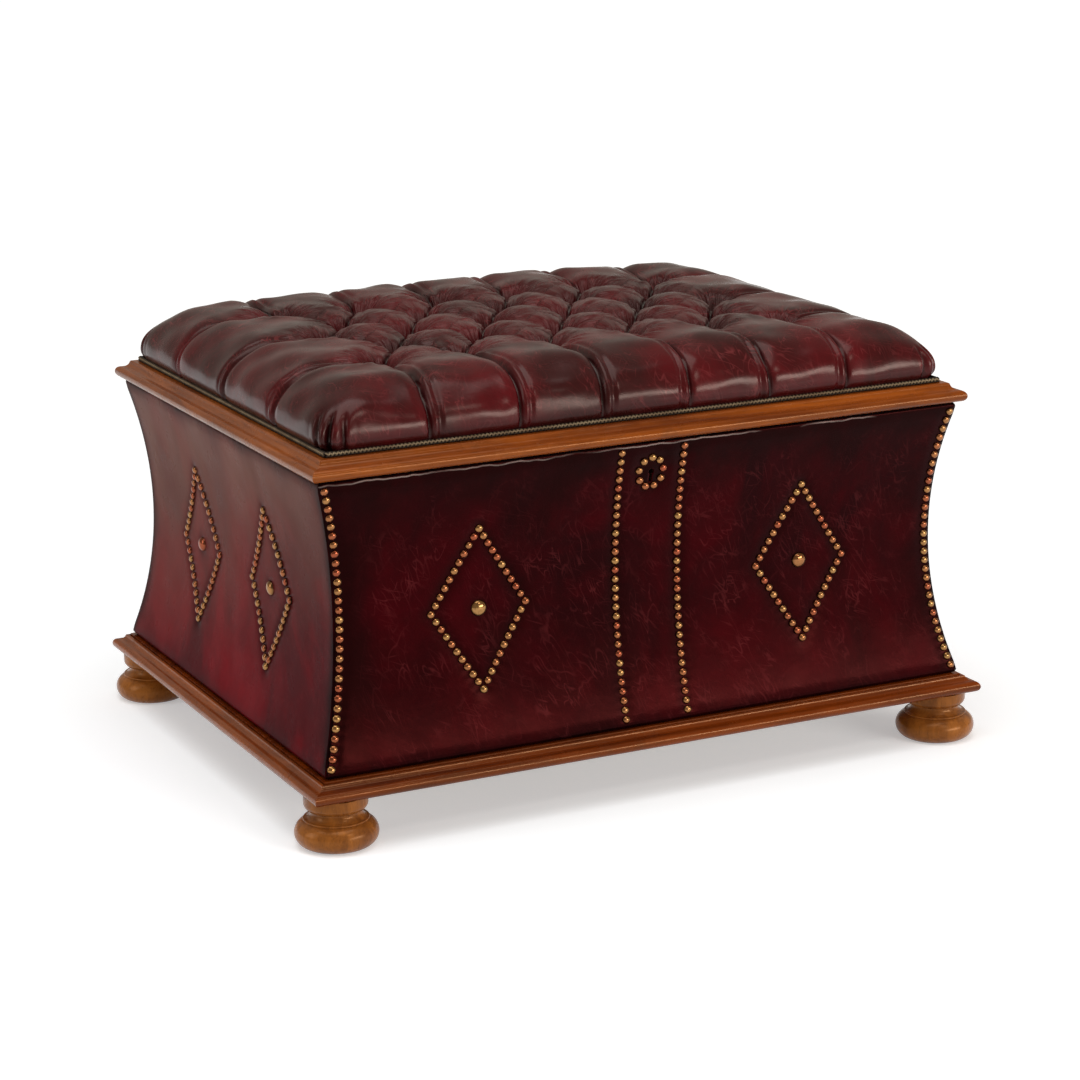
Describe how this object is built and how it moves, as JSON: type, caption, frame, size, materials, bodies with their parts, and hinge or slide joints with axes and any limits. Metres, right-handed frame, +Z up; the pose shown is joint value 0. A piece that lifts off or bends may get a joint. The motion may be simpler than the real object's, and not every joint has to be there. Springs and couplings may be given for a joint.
{
  "type": "box ottoman",
  "caption": "Storage ottoman: leather box with drawn-in sides and nail patterns, deep-buttoned hinged lid, wood mouldings and turned bun feet.",
  "frame": {"origin": "on the floor, under the middle of the ottoman", "axes": "+X to the right along the front, +Y from the front, with the keyhole, to the hinged back, +Z up"},
  "size_m": [0.847, 0.681, 0.497],
  "materials": {
    "leather": "hand-antiqued, waxed",
    "stuffing": "soft foam and wadding",
    "gimp_braid": "braided",
    "lining": "woven, matt",
    "twine": "waxed twine",
    "mahogany": "glossy stain",
    "foot_wood": "glossy stain",
    "carcass_wood": "sawn",
    "panel_board": "sanded plywood",
    "antique_nail": "antiqued",
    "brass": "satin",
    "steel": "brushed"
  },
  "bodies": {
    "case": {"base_frame_long_rails": "mahogany", "base_frame_short_rails": "mahogany", "base_moulding_back": "mahogany", "base_moulding_front": "mahogany", "base_moulding_left": "mahogany", "base_moulding_right": "mahogany", "base_panel": "panel_board", "bent_board_back": "panel_board", "bent_board_front": "panel_board", "bent_board_left": "panel_board", "bent_board_right": "panel_board", "case_screws": "brass", "floor_lining": "lining", "foot_back_left": "foot_wood", "foot_back_right": "foot_wood", "foot_front_left": "foot_wood", "foot_front_right": "foot_wood", "hinge_leaves_case": "brass", "hinge_pins": "brass", "inner_board_back": "carcass_wood", "inner_board_front": "carcass_wood", "inner_board_left": "carcass_wood", "inner_board_right": "carcass_wood", "large_nails": "antique_nail", "leather_back": "leather", "leather_front": "leather", "leather_left": "leather", "leather_right": "leather", "lock_cap": "brass", "lock_case": "brass", "lower_rails": "carcass_wood", "nails_back": "antique_nail", "nails_front": "antique_nail", "nails_left": "antique_nail", "nails_right": "antique_nail", "ribs": "carcass_wood", "rim_rails": "carcass_wood", "stay_guides": "brass", "well_lining": "lining"},
    "lid": {"cushion_cover": "leather", "gimp": "gimp_braid", "hinge_leaves_lid": "brass", "lid_frame_long_rails": "mahogany", "lid_frame_short_rails": "mahogany", "lid_lining": "lining", "lid_moulding_back": "mahogany", "lid_moulding_front": "mahogany", "lid_moulding_left": "mahogany", "lid_moulding_right": "mahogany", "lid_panel": "panel_board", "lid_screws": "brass", "lid_stays": "brass", "lock_link_plate": "brass", "stuffing": "stuffing", "tuft_buttons": "leather", "tuft_ties": "twine"},
    "bolt": {"lock_bolt": "steel"}
  },
  "joints": [
    {"name": "lid_hinge", "type": "hinge", "parent": "case", "child": "lid", "pos_m": [0, 0.312, 0.39975], "axis": [-1, 0, 0], "range_deg": [0, 74]},
    {"name": "bolt_slide", "type": "slide", "parent": "case", "child": "bolt", "axis": [1, 0, 0], "range_m": [0, 0.007]}
  ]
}
